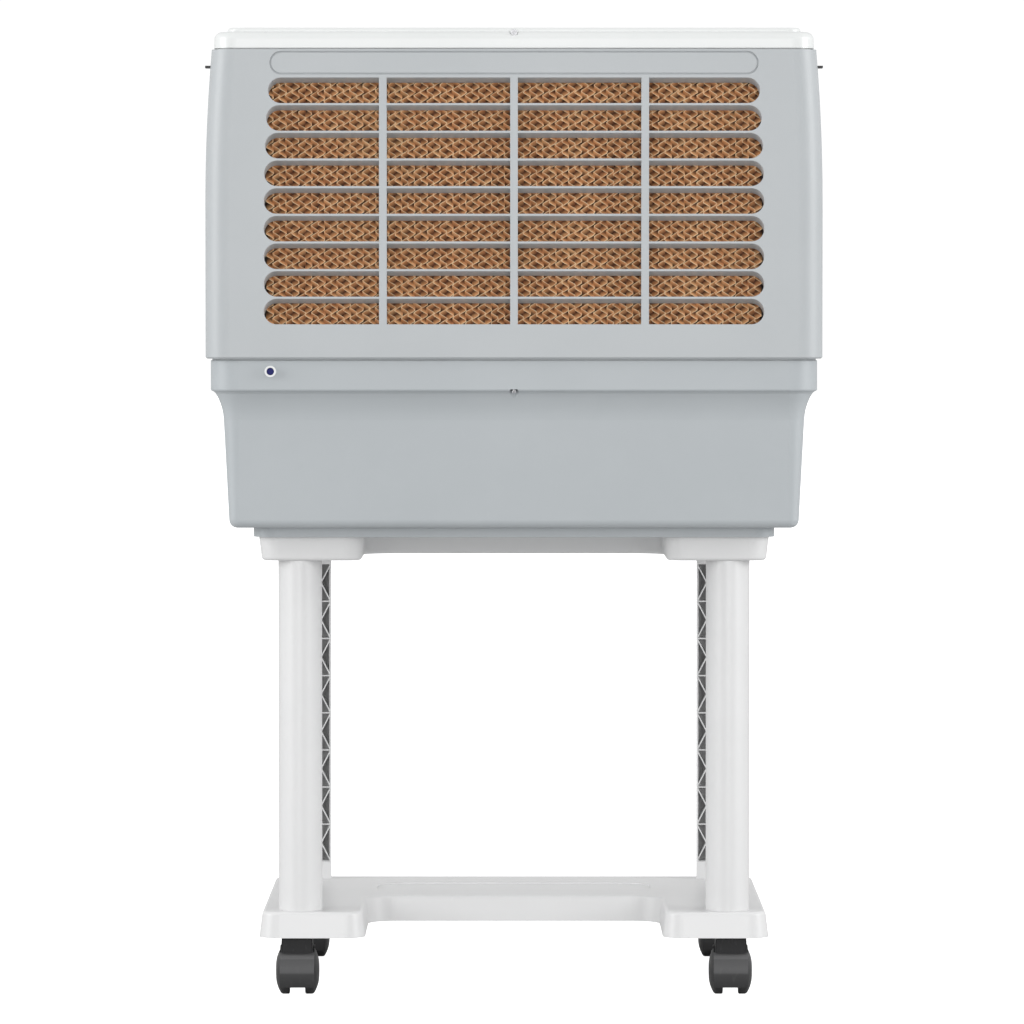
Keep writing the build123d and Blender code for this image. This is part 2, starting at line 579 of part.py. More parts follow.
def front_panel(shell):
    """The front panel: the outlet duct, the recess for the controls and its seams."""
    panel = shell & block(-400, 400, FRONT_SEAM_Y, 300, 600, 1100)
    z0, z1 = OUTLET_Z
    duct = block(-OUTLET_X - DUCT_WALL, OUTLET_X + DUCT_WALL, SHROUD_Y + 3.0, BODY_Y - 1,
                 z0 - DUCT_WALL, z1 + DUCT_WALL)
    recess = block(CONTROL_X - CONTROL_WIDTH / 2 - 2.5, CONTROL_X + CONTROL_WIDTH / 2 + 2.5,
                   CONTROL_FLOOR_Y - 5, BODY_Y - 1,
                   CONTROL_Z - CONTROL_HEIGHT / 2 - 2.5, CONTROL_Z + CONTROL_HEIGHT / 2 + 2.5)
    panel += duct + recess
    panel -= block(-OUTLET_X, OUTLET_X, SHROUD_Y, BODY_Y + 5, z0, z1)
    panel -= Pos(CONTROL_X, CONTROL_FLOOR_Y, CONTROL_Z) * Rot(90, 0, 0) * \
        extrude(RectangleRounded(CONTROL_WIDTH, CONTROL_HEIGHT, 8), -40)
    panel -= block(CONTROL_X - CONTROL_WIDTH / 2 + 6, CONTROL_X + CONTROL_WIDTH / 2 - 6, 200,
                   CONTROL_FLOOR_Y + 1, CONTROL_Z - CONTROL_HEIGHT / 2 + 6,
                   CONTROL_Z + CONTROL_HEIGHT / 2 - 6)
    lip = block(-OUTLET_X - 12, OUTLET_X + 12, BODY_Y - 2, BODY_Y + 1, z0 - 12, z1 + 12)
    lip -= block(-OUTLET_X - 10.5, OUTLET_X + 10.5, BODY_Y - 3, BODY_Y + 2, z0 - 10.5, z1 + 10.5)
    panel -= lip & block(-400, 400, BODY_Y - 1.2, BODY_Y + 1, 0, 1100)
    for x in SWING_VANE_X:
        panel -= cylinder_z(VANE_HOLE_R, z0 - 5, z1 + 5, x, SWING_AXIS_Y)
    for z in TILT_VANE_Z:
        panel -= cylinder_x(VANE_HOLE_R, -OUTLET_X - 5, OUTLET_X + 5, TILT_AXIS_Y, z)
    return panel


def top_cover():
    """The lid: a skirted cover with a raised plateau and a screw recess at its rear edge."""
    body = slab(LID_X, LID_Y, 24, LID_Z, LID_SHOULDER_Z)
    edges = [e for e in body.edges() if e.bounding_box().min.Z > LID_SHOULDER_Z - 0.1]
    body = fillet(edges, 8.0)
    plateau = slab(LID_X - LID_PLATEAU_INSET, LID_Y - LID_PLATEAU_INSET, 14,
                   LID_SHOULDER_Z - 2, LID_TOP_Z)
    edges = [e for e in plateau.edges() if e.bounding_box().min.Z > LID_TOP_Z - 0.1]
    body += fillet(edges, 3.0)
    body -= slab(LID_X - LID_WALL, LID_Y - LID_WALL, 21, LID_Z - 1, LID_SHOULDER_Z - 7)
    body -= slab(LID_X - 18, LID_Y - 18, 10, LID_Z - 1, LID_TOP_Z - LID_WALL)
    body += slab(LID_X - 3.5, LID_Y - 3.5, 20, LID_Z - 4, LID_Z + 4) - \
        slab(LID_X - 6, LID_Y - 6, 18, LID_Z - 5, LID_Z + 5)
    body += block(-9, 9, -LID_Y + 1.5, -LID_Y + 12, LID_Z + 4, LID_SHOULDER_Z - 3)
    body -= cylinder_y(4.7, -LID_Y - 1, -LID_Y + 6.5, 0, LID_SHOULDER_Z)
    return body - cylinder_y(1.9, -LID_Y, -LID_Y + 16, 0, LID_SCREW_Z)


# ---------------------------------------------------------------- pads, water and air

def pads():
    """Three cooling pads as plain blocks, one behind each louvred panel."""
    save("rear_pad", block(-REAR_PAD_X, REAR_PAD_X, REAR_PAD_Y, REAR_PAD_Y + PAD_THICK,
                           PAD_BOTTOM_Z, PAD_TOP_Z))
    y0, y1 = SIDE_PAD_Y
    inner = SIDE_PAD_X - PAD_THICK
    save("left_pad", block(-SIDE_PAD_X, -inner, y0, y1, PAD_BOTTOM_Z, PAD_TOP_Z))
    save("right_pad", block(inner, SIDE_PAD_X, y0, y1, PAD_BOTTOM_Z, PAD_TOP_Z))


def water_distributor():
    """A U-shaped trough over the pads, with drip holes in its floor and an inlet nozzle."""
    z0 = DISTRIBUTOR_Z
    z1 = z0 + DISTRIBUTOR_HEIGHT
    front = SIDE_PAD_Y[1]
    inner_x = SIDE_PAD_X - PAD_THICK
    inner_y = REAR_PAD_Y + PAD_THICK
    trough = block(-SIDE_PAD_X, SIDE_PAD_X, REAR_PAD_Y, front, z0, z1)
    trough -= block(-inner_x, inner_x, inner_y, front + 1, z0 - 1, z1 + 1)
    hollow = block(-SIDE_PAD_X + 2, SIDE_PAD_X - 2, REAR_PAD_Y + 2, front - 2, z0 + 2, z1 + 1)
    hollow -= block(-inner_x - 2, inner_x + 2, inner_y - 2, front + 1, z0, z1 + 2)
    trough -= hollow
    for i in range(-6, 7):
        trough -= cylinder_z(1.6, z0 - 1, z0 + 3, 40.0 * i, REAR_PAD_Y + PAD_THICK / 2)
    for side in (-1, 1):
        for i in range(8):
            trough -= cylinder_z(1.6, z0 - 1, z0 + 3, side * (SIDE_PAD_X - PAD_THICK / 2),
                                 SIDE_PAD_Y[0] + 20 + 40.0 * i)
    trough += cylinder_y(4.5, inner_y - 1, inner_y + 12, HOSE_X, HOSE_TOP_Z)
    return trough - cylinder_y(3.2, inner_y - 3, inner_y + 13, HOSE_X, HOSE_TOP_Z)


def pump_hose():
    """A soft hose from the pump straight up, then in one bend to the trough's nozzle."""
    end_y = REAR_PAD_Y + PAD_THICK
    path = FilletPolyline((HOSE_X, HOSE_Y, NOZZLE_Z), (HOSE_X, HOSE_Y, HOSE_TOP_Z),
                          (HOSE_X, end_y, HOSE_TOP_Z), radius=HOSE_BEND_R)
    start = Plane((HOSE_X, HOSE_Y, NOZZLE_Z))
    wall = start * (Circle(HOSE_R) - Circle(HOSE_BORE_R))
    return sweep(wall, path=path)


def pump_body():
    """A submersible pump: a motor can on a ported base, with a nozzle on top."""
    z0 = PUMP_FLOOR_Z
    can = Pos(HOSE_X, HOSE_Y, z0 + 14) * extrude(RectangleRounded(62, 46, 10), 40)
    base = Pos(HOSE_X, HOSE_Y, z0 + 2) * extrude(RectangleRounded(70, 54, 12), 14)
    pump = can + base + cylinder_z(6.5, z0 + 50, NOZZLE_Z, HOSE_X, HOSE_Y)
    pump += cylinder_z(HOSE_BORE_R, NOZZLE_Z - 1, NOZZLE_Z + 14, HOSE_X, HOSE_Y)
    pump -= cylinder_z(3.0, z0 + 52, NOZZLE_Z + 15, HOSE_X, HOSE_Y)
    pump -= cylinder_z(18.0, z0 + 1, z0 + 12, HOSE_X, HOSE_Y)
    pump -= cylinder_z(2.05, z0 + 1, z0 + 34, HOSE_X, HOSE_Y)
    for i in range(-4, 5):
        pump -= block(HOSE_X + 6 * i - 1.2, HOSE_X + 6 * i + 1.2, HOSE_Y - 40, HOSE_Y - 15,
                      z0 + 1, z0 + 10)
    for side_x in (-1, 1):
        for side_y in (-1, 1):
            pump += cylinder_z(5.0, z0, z0 + 2.5, HOSE_X + 26 * side_x, HOSE_Y + 19 * side_y)
    return pump


def pump_impeller():
    """A six-bladed impeller on its spindle, free in the pump's chamber."""
    z0 = PUMP_FLOOR_Z
    rotor = cylinder_z(15.0, z0 + 9.5, z0 + 11, HOSE_X, HOSE_Y)
    rotor += cylinder_z(4.0, z0 + 4, z0 + 11, HOSE_X, HOSE_Y)
    rotor += cylinder_z(2.0, z0 + 10, z0 + 33, HOSE_X, HOSE_Y)
    for i in range(6):
        vane = Pos(9, 0, z0 + 7) * Box(11, 1.2, 6)
        rotor += Pos(HOSE_X, HOSE_Y, 0) * Rot(0, 0, 60 * i) * vane
    return rotor


def float_valve():
    """The inlet nipple with its flange, the valve body inside and the arm's fork."""
    valve = cylinder_y(NIPPLE_R, -BODY_Y, -RIM_Y, INLET_X, INLET_Z)
    valve += cylinder_y(NIPPLE_SHANK_R, -RIM_Y - 1, -RIM_Y + TANK_WALL + 1, INLET_X, INLET_Z)
    valve += cylinder_y(8.0, -RIM_Y + TANK_WALL, -RIM_Y + TANK_WALL + 5, INLET_X, INLET_Z)
    valve += cylinder_y(7.0, -RIM_Y + TANK_WALL + 4, -RIM_Y + 24, INLET_X, INLET_Z)
    valve -= cylinder_y(NIPPLE_BORE_R, -BODY_Y - 1, -BODY_Y + 24, INLET_X, INLET_Z)
    for side in (-1, 1):
        x0 = INLET_X + side * 5.5 - 1.5
        valve += block(x0, x0 + 3, -RIM_Y + 16, FLOAT_PIVOT_Y + 5, FLOAT_PIVOT_Z - 5,
                       FLOAT_PIVOT_Z + 5)
        valve -= cylinder_x(HINGE_R + 0.05, x0 - 1, x0 + 4, FLOAT_PIVOT_Y, FLOAT_PIVOT_Z)
    valve -= block(INLET_X - 3.9, INLET_X + 3.9, FLOAT_PIVOT_Y - 6, FLOAT_PIVOT_Y + 20,
                   FLOAT_PIVOT_Z - 20, FLOAT_PIVOT_Z + 20)
    return valve


def float_arm():
    """The arm with its hinge pin, hanging down at the angle of its lower stop."""
    arm = block(-2.5, 2.5, -4, FLOAT_ARM, -1.5, 1.5) + cylinder_x(4.5, -3.4, 3.4, 0, 0)
    arm += cylinder_x(HINGE_R, -8.5, 8.5, 0, 0)
    arm += cylinder_z(5.0, -4, 4, 0, FLOAT_ARM)
    arm -= cylinder_z(2.5, -5, 5, 0, FLOAT_ARM)
    return Pos(INLET_X, FLOAT_PIVOT_Y, FLOAT_PIVOT_Z) * Rot(-FLOAT_DROP, 0, 0) * arm


def float_ball():
    """The hollow float, clipped under the arm's eye by a stud."""
    ball = Pos(0, FLOAT_ARM, -FLOAT_R - 4) * Sphere(FLOAT_R)
    ball -= Pos(0, FLOAT_ARM, -FLOAT_R - 4) * Sphere(FLOAT_R - 2)
    ball += cylinder_z(5.5, -7.5, -4, 0, FLOAT_ARM)
    ball += cylinder_z(2.5, -6, 5.5, 0, FLOAT_ARM)
    ball += cylinder_z(4.0, 4, 6, 0, FLOAT_ARM)
    return Pos(INLET_X, FLOAT_PIVOT_Y, FLOAT_PIVOT_Z) * Rot(-FLOAT_DROP, 0, 0) * ball


def inlet_plug():
    """A small plug that closes the nipple while no hose is on it."""
    plug = cylinder_y(NIPPLE_BORE_R - 0.05, -BODY_Y + 0.6, -BODY_Y + 11, INLET_X, INLET_Z)
    return chamfer(plug.edges(), 0.5)


def fan_guard():
    """Rings and spokes across the shroud's hole, which keep fingers off the fan."""
    y0 = SHROUD_Y + 0.4
    guard = cylinder_y(18.0, y0, y0 + 2.4, 0, FAN_Z)
    for ring in range(1, 6):
        radius = 18.0 + 20.0 * ring
        guard += cylinder_y(radius + 1.2, y0, y0 + 2.4, 0, FAN_Z) - \
            cylinder_y(radius - 1.2, y0 - 1, y0 + 4, 0, FAN_Z)
    for spoke in range(6):
        bar = Pos(0, y0 + 1.2, FAN_Z) * Rot(0, 30 * spoke + 15, 0) * Box(2 * SHROUD_R + 4, 2.4, 2.6)
        guard += bar
    return guard


def fan_shroud():
    """The shroud: a plate that closes the duct, a round inlet ring and four posts."""
    z0, z1 = OUTLET_Z
    plate = block(-OUTLET_X - 10, OUTLET_X + 10, SHROUD_Y, SHROUD_Y + 3, z0 - 20, z1 + 12)
    plate += cylinder_y(SHROUD_R + 3, SHROUD_Y - 43, SHROUD_Y + 1, 0, FAN_Z)
    plate -= cylinder_y(SHROUD_R, SHROUD_Y - 50, SHROUD_Y + 10, 0, FAN_Z)
    lip = cylinder_y(SHROUD_R + 7, SHROUD_Y - 45, SHROUD_Y - 42, 0, FAN_Z)
    plate += lip - cylinder_y(SHROUD_R, SHROUD_Y - 50, SHROUD_Y - 40, 0, FAN_Z)
    plate += fan_guard()
    for angle in POST_ANGLES:
        x = POST_R * math.cos(math.radians(angle))
        z = FAN_Z + POST_R * math.sin(math.radians(angle))
        plate += cylinder_y(7.0, BRACKET_Y, SHROUD_Y + 1, x, z)
        plate -= cylinder_y(2.0, BRACKET_Y - 1, BRACKET_Y + 16, x, z)
    return plate


def fan():
    """An axial fan: a hub and five cambered, pitched blades."""
    hub = cylinder_y(38.0, FAN_Y - 20, FAN_Y + 18, 0, FAN_Z)
    edges = [e for e in hub.edges() if e.bounding_box().min.Y > FAN_Y + 17]
    hub = fillet(edges, 10.0)
    hub -= cylinder_y(34.0, FAN_Y - 21, FAN_Y + 10, 0, FAN_Z)
    hub += cylinder_y(11.0, FAN_Y - 18, FAN_Y + 14, 0, FAN_Z)
    chord = 96.0
    camber = 9.0
    top = ThreePointArc((-chord / 2, 0), (0, camber), (chord / 2, 0))
    low = ThreePointArc((-chord / 2, 0), (0, camber - 3.0), (chord / 2, 0))
    section = make_face(top + low)
    blade = Pos(0, 0, 34) * extrude(section, FAN_R)
    blade = Rot(0, 0, 24) * blade
    blade &= Cylinder(FAN_R, 60, rotation=(90, 0, 0))
    blade &= Box(400, 38, 400)
    blades = [Pos(0, FAN_Y - 1, FAN_Z) * Rot(0, 72 * i, 0) * blade for i in range(5)]
    for piece in blades:
        hub += piece - cylinder_y(35.0, FAN_Y - 40, FAN_Y + 40, 0, FAN_Z)
    return hub - cylinder_y(SHAFT_R, FAN_Y - 30, FAN_Y + 30, 0, FAN_Z)


def motor():
    """The fan motor: a finned can with end bells and a bore for its shaft."""
    y0, y1 = MOTOR_Y
    can = cylinder_y(MOTOR_R, y0 + 10, y1 - 8, 0, FAN_Z)
    can += cylinder_y(MOTOR_R - 8, y0, y1, 0, FAN_Z)
    for i in range(5):
        y = y0 + 18 + 11 * i
        ring = cylinder_y(MOTOR_R + 1, y, y + 5, 0, FAN_Z) - cylinder_y(MOTOR_R - 3, y, y + 5, 0, FAN_Z)
        can -= ring
    can += cylinder_y(12.0, y0 - 6, y0 + 2, 0, FAN_Z)
    return can - cylinder_y(SHAFT_R + 0.05, y0 + 2, y1 + 5, 0, FAN_Z)


def motor_shaft():
    """The motor's shaft, which carries the fan."""
    return cylinder_y(SHAFT_R, MOTOR_Y[0] + 4, FAN_Y + 20, 0, FAN_Z)


def motor_bracket():
    """A four-armed steel bracket between the motor's face and the shroud's posts."""
    y0 = MOTOR_Y[1]
    plate = cylinder_y(46.0, y0, y0 + 2.5, 0, FAN_Z)
    for angle in (45, 135):
        arm = Pos(0, y0 + 1.25, FAN_Z) * Rot(0, angle, 0) * Box(2 * POST_R + 22, 2.5, 22)
        plate += arm
    plate -= cylinder_y(16.0, y0 - 1, y0 + 5, 0, FAN_Z)
    for angle in POST_ANGLES:
        x = POST_R * math.cos(math.radians(angle))
        z = FAN_Z + POST_R * math.sin(math.radians(angle))
        plate -= cylinder_y(2.3, y0 - 1, y0 + 5, x, z)
    return plate


# ---------------------------------------------------------------- vanes and controls

def swing_vanes():
    """Upright vanes on pins, with a crank pin each, and the bar that links them."""
    z0, z1 = OUTLET_Z
    for number, x in enumerate(SWING_VANE_X, 1):
        vane = block(x - 1.2, x + 1.2, SWING_AXIS_Y - 18, SWING_AXIS_Y + 18, z0 + 12, z1 - 7)
        vane = fillet(vane.edges().filter_by(Axis.X), 5.0)
        vane += cylinder_z(3.5, z0 + 12, z1 - 7, x, SWING_AXIS_Y)
        vane += cylinder_z(VANE_PIN_R, z0 - 2, z1 + 2, x, SWING_AXIS_Y)
        crank_y = SWING_AXIS_Y - SWING_CRANK
        vane += block(x - 2.4, x + 2.4, crank_y - 2.4, SWING_AXIS_Y, z0 + 9, z0 + 14)
        vane += cylinder_z(1.8, z0 + 2, z0 + 12, x, crank_y)
        save(f"swing_vane_{number}", vane)
    y = SWING_AXIS_Y - SWING_CRANK
    bar = block(SWING_VANE_X[0] - 9, SWING_VANE_X[-1] + 9, y - 6, y + 6, z0 + 4, z0 + 6)
    for x in SWING_VANE_X:
        bar -= Pos(x, y, z0 + 5) * Rot(0, 0, 90) * extrude(SlotOverall(8.4, 4.6), 5, both=True)
    save("vane_link_bar", bar)


def swing_motor():
    """The small geared motor under the duct whose crank drives the first vane."""
    x = SWING_VANE_X[0]
    z = OUTLET_Z[0] - DUCT_WALL
    case = cylinder_z(22.0, z - 22, z - 3, x, SWING_AXIS_Y)
    case += block(x - 27, x + 27, SWING_AXIS_Y - 5, SWING_AXIS_Y + 5, z - 5, z)
    return case - cylinder_z(4.0, z - 6, z + 1, x, SWING_AXIS_Y)


def tilt_vanes():
    """Level vanes in the mouth of the duct, set by hand."""
    for number, z in enumerate(TILT_VANE_Z, 1):
        top = ThreePointArc((-16, 0), (0, 2.6), (16, 0))
        low = ThreePointArc((-16, 0), (0, -1.0), (16, 0))
        vane = extrude(Plane.YZ * make_face(top + low), OUTLET_X - 2.5, both=True)
        vane = Pos(0, TILT_AXIS_Y, z) * vane
        vane += cylinder_x(VANE_PIN_R + 1, -OUTLET_X + 1, OUTLET_X - 1, TILT_AXIS_Y, z)
        vane += cylinder_x(VANE_PIN_R, -OUTLET_X - 2, OUTLET_X + 2, TILT_AXIS_Y, z)
        if number == 2:
            tab = block(-14, 14, TILT_AXIS_Y + 8, TILT_AXIS_Y + 17.5, z - 3.5, z + 4)
            vane += fillet(tab.edges().filter_by(Axis.Z), 2.0)
        save(f"tilt_vane_{number}", vane)


def control_plate():
    """The plate behind the knobs, with a raised ring and four tick marks round each."""
    y = CONTROL_FLOOR_Y
    half_x = CONTROL_WIDTH / 2 - 0.4
    half_z = CONTROL_HEIGHT / 2 - 0.4
    plate = Pos(CONTROL_X, y, CONTROL_Z) * Rot(90, 0, 0) * \
        extrude(RectangleRounded(2 * half_x, 2 * half_z, 7.6), -2.0)
    for z in KNOB_Z:
        plate += cylinder_y(22.5, y + 1, y + 2.6, CONTROL_X, z) - \
            cylinder_y(21.3, y, y + 3, CONTROL_X, z)
        for angle in (-45, 0, 45, 90):
            mark = Pos(0, y + 2.1, 26.5) * Box(1.4, 1.0, 4.0)
            plate += Pos(CONTROL_X, 0, z) * Rot(0, angle, 0) * mark
        plate += cylinder_y(13.0, y - 14, y + 1, CONTROL_X, z)
        plate -= cylinder_y(3.05, y - 12, y + 5, CONTROL_X, z)
    return plate


def knob(z):
    """A round knob with a grip bar across it, on a spindle."""
    y = CONTROL_FLOOR_Y + 2.4
    body = cylinder_y(KNOB_R, y, y + 4, CONTROL_X, z)
    grip = block(CONTROL_X - 4.2, CONTROL_X + 4.2, y + 3, y + 13, z - 18, z + 18)
    grip = fillet(grip.edges().filter_by(Axis.Y), 3.8)
    body += grip
    body += cylinder_y(3.0, CONTROL_FLOOR_Y - 11, y + 1, CONTROL_X, z)
    return body - block(CONTROL_X - 0.6, CONTROL_X + 0.6, y + 12.2, y + 14, z + 4, z + 17)


def latch(side):
    """A thin sliding latch tab whose end stands out of the panel's side."""
    y0, y1 = LATCH_Y
    top = LATCH_Z + LATCH_THICK / 2
    tab = block(298.0, BODY_X, y0, y1, top - LATCH_THICK, top)
    tab += block(296.0, 300.0, y0, y1, LATCH_Z - 6, top)
    return tab if side > 0 else mirror(tab, Plane.YZ)


def cord_gland():
    """The gland through which the mains lead enters, with its nut inside."""
    outer_x = -BODY_X + 0.5
    gland = cylinder_x(6.4, outer_x, -300.0, GLAND_Y, GLAND_Z)
    gland += cylinder_x(9.0, outer_x, -318.9, GLAND_Y, GLAND_Z)
    nut = Pos(-313.4, GLAND_Y, GLAND_Z) * Rot(0, 90, 0) * extrude(RegularPolygon(10.0, 6), 5)
    gland += nut
    return gland - cylinder_x(GLAND_BORE_R, -330, -290, GLAND_Y, GLAND_Z)


def pan_screw_y(x, y, z, length, radius, inwards):
    """A pan-head screw along Y; its head's seat is at y and inwards is the way it points."""
    head = cylinder_y(2 * radius, y, y - inwards * 2.2, x, z)
    shank = cylinder_y(radius, y, y + inwards * length, x, z)
    cross = block(x - 1.3 * radius, x + 1.3 * radius, -0.4, 0.4, z - 0.4, z + 0.4)
    cross += block(x - 0.4, x + 0.4, -0.4, 0.4, z - 1.3 * radius, z + 1.3 * radius)
    return head + shank - Pos(0, y - inwards * 2.2, 0) * cross


def panel_screws():
    """The screws of the lid, the rim, the shroud and the motor bracket."""
    screws = [pan_screw_y(0, -LID_Y + 6.5, LID_SCREW_Z, 7, 1.8, 1)]
    head = cylinder_z(2.2, RIM_LOW_Z - 1.4, RIM_LOW_Z + 2.2, 0, -RIM_Y + 3.0)
    screws.append(head - block(-0.5, 0.5, -RIM_Y - 5, -RIM_Y + 15, RIM_LOW_Z - 2, RIM_LOW_Z - 0.4))
    for angle in POST_ANGLES:
        x = POST_R * math.cos(math.radians(angle))
        z = FAN_Z + POST_R * math.sin(math.radians(angle))
        screws.append(pan_screw_y(x, MOTOR_Y[1], z, 16, 2.0, 1))
    return Compound(children=screws)


def cooler():
    """The cooler itself: tank, housing, pads, water system, fan, vanes and controls."""
    save("tank", tank())
    save("drain_plug", drain_plug())
    outer, shell = panel_shell()
    save("rear_panel", rear_panel(outer, shell))
    save("left_panel", side_panel(shell, -1))
    save("right_panel", side_panel(shell, 1))
    save("front_panel", front_panel(shell))
    save("top_cover", top_cover())
    pads()
    save("water_distributor", water_distributor())
    save("pump_hose", pump_hose())
    save("pump_body", pump_body())
    save("pump_impeller", pump_impeller())
    save("float_valve", float_valve())
    save("float_arm", float_arm())
    save("float_ball", float_ball())
    save("inlet_plug", inlet_plug())
    save("fan_shroud", fan_shroud())
    save("fan", fan())
    save("motor", motor())
    save("motor_shaft", motor_shaft())
    save("motor_bracket", motor_bracket())
    swing_vanes()
    save("swing_motor", swing_motor())
    tilt_vanes()
    save("control_plate", control_plate())
    for name, z in zip(("speed_knob", "swing_knob", "pump_knob"), KNOB_Z):
        save(name, knob(z))
    save("left_latch", latch(-1))
    save("right_latch", latch(1))
    save("cord_gland", cord_gland())
    save("panel_screws", panel_screws())


trolley()
cooler()
os.makedirs("parts", exist_ok=True)
for node, shape in parts.items():
    export_step(shape, f"parts/{node}.step")
print(len(parts), "nodes")
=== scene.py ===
# %% [markdown]
# An evaporative cooler on a castor trolley, finished in Blender round its engineering model.
# The engineering model comes in first as a fixed frame. Nothing in it is moved: each part either
# keeps its own mesh and gets a proper finish, or is replaced by a piece with more detail.

# %% load the frame
import json
import math
import bpy
import numpy as np
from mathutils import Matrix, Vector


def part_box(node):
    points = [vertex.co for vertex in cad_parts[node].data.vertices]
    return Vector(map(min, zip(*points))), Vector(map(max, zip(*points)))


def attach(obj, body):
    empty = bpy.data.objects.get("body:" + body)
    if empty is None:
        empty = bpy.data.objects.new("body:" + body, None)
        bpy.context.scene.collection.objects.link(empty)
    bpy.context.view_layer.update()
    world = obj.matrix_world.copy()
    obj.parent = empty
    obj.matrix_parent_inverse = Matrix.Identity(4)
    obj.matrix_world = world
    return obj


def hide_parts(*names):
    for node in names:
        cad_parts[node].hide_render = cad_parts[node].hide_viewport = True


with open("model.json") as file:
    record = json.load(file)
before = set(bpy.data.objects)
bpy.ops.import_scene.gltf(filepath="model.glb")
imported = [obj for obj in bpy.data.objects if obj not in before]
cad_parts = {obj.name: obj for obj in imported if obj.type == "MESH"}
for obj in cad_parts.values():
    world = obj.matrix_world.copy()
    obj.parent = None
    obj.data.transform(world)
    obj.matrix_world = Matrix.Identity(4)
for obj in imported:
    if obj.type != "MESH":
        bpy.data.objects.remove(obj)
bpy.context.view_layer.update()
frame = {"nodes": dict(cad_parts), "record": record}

nodes = frame["nodes"]

# %% [markdown]
# Catalogue pictures of appliances are taken from far away with a long lens, so that upright edges
# stay parallel. The camera looks at the pad side from six and a half metres, level with the
# cooler's body, and dips by two degrees to bring the castors into the frame. Dipping is chosen
# over shifting the lens, because a shift would also push the object aside in every other view.

# %% camera
CAMERA_DISTANCE = 6.606
CAMERA_HEIGHT = 0.7337
CAMERA_ASIDE = -0.0021
CAMERA_DIP = math.radians(1.991)
FOCAL_LENGTH = 214.4

camera_data = bpy.data.cameras.new("camera")
camera_data.lens = FOCAL_LENGTH
camera_data.sensor_width = 36.0
camera_data.clip_end = 100.0
camera = bpy.data.objects.new("camera", camera_data)
bpy.context.scene.collection.objects.link(camera)
camera.location = (CAMERA_ASIDE, -CAMERA_DISTANCE, CAMERA_HEIGHT)
camera.rotation_euler = (math.radians(90) - CAMERA_DIP, 0, 0)
bpy.context.scene.camera = camera
bpy.context.scene.view_settings.view_transform = "Standard"
print("field of view", round(math.degrees(camera_data.angle), 2), "degrees")

# %% [markdown]
# Shader maths is easier to read as plain expressions. One small class wraps a socket of a node
# tree, so that `1 - mask` or `height * 0.3` makes the Math nodes by itself. A second class holds
# the tree and makes any node from its type, settings and inputs. A third is one material: such a
# tree with a Principled shader, and the few patterns that this object's surfaces are made of.

# %% shader maths
class Wire:
    """One output socket, or a value on its way to becoming one."""

    def __init__(self, graph, socket):
        self.graph = graph
        self.socket = socket

    def maths(self, operation, *values):
        sockets = dict(enumerate(values))
        return self.graph.node("Math", {"operation": operation}, sockets)

    def __add__(self, other):
        return self.maths("ADD", self, other)

    def __sub__(self, other):
        return self.maths("SUBTRACT", self, other)

    def __rsub__(self, other):
        return self.maths("SUBTRACT", other, self)

    def __mul__(self, other):
        return self.maths("MULTIPLY", self, other)

    __radd__ = __add__
    __rmul__ = __mul__

    def clipped(self):
        """The value held between 0 and 1."""
        return self.maths("MINIMUM", self.maths("MAXIMUM", self, 0.0), 1.0)


class Graph:
    """A node tree, of a material or of the world."""

    def __init__(self, tree):
        self.tree = tree

    def plug(self, socket, value):
        """Link a wire to a socket, or set the socket; a colour gets its alpha of 1."""
        if isinstance(value, Wire):
            self.tree.links.new(value.socket, socket)
        elif hasattr(socket.default_value, "__len__") and len(value) != len(socket.default_value):
            socket.default_value = (*value, 1.0)
        else:
            socket.default_value = value

    def node(self, kind, settings=None, sockets=None, out=0):
        """Make a node: its settings first, then the values or links of its sockets."""
        made = self.tree.nodes.new("ShaderNode" + kind)
        for key, value in (settings or {}).items():
            if key == "stops":
                ramp = made.color_ramp.elements
                ramp[0].position, ramp[0].color = value[0][0], (*value[0][1], 1)
                ramp[1].position, ramp[1].color = value[-1][0], (*value[-1][1], 1)
                for position, colour in value[1:-1]:
                    ramp.new(position).color = (*colour, 1)
            else:
                setattr(made, key, value)
        for key, value in (sockets or {}).items():
            self.plug(made.inputs[key], value)
        return Wire(self, made.outputs[out])


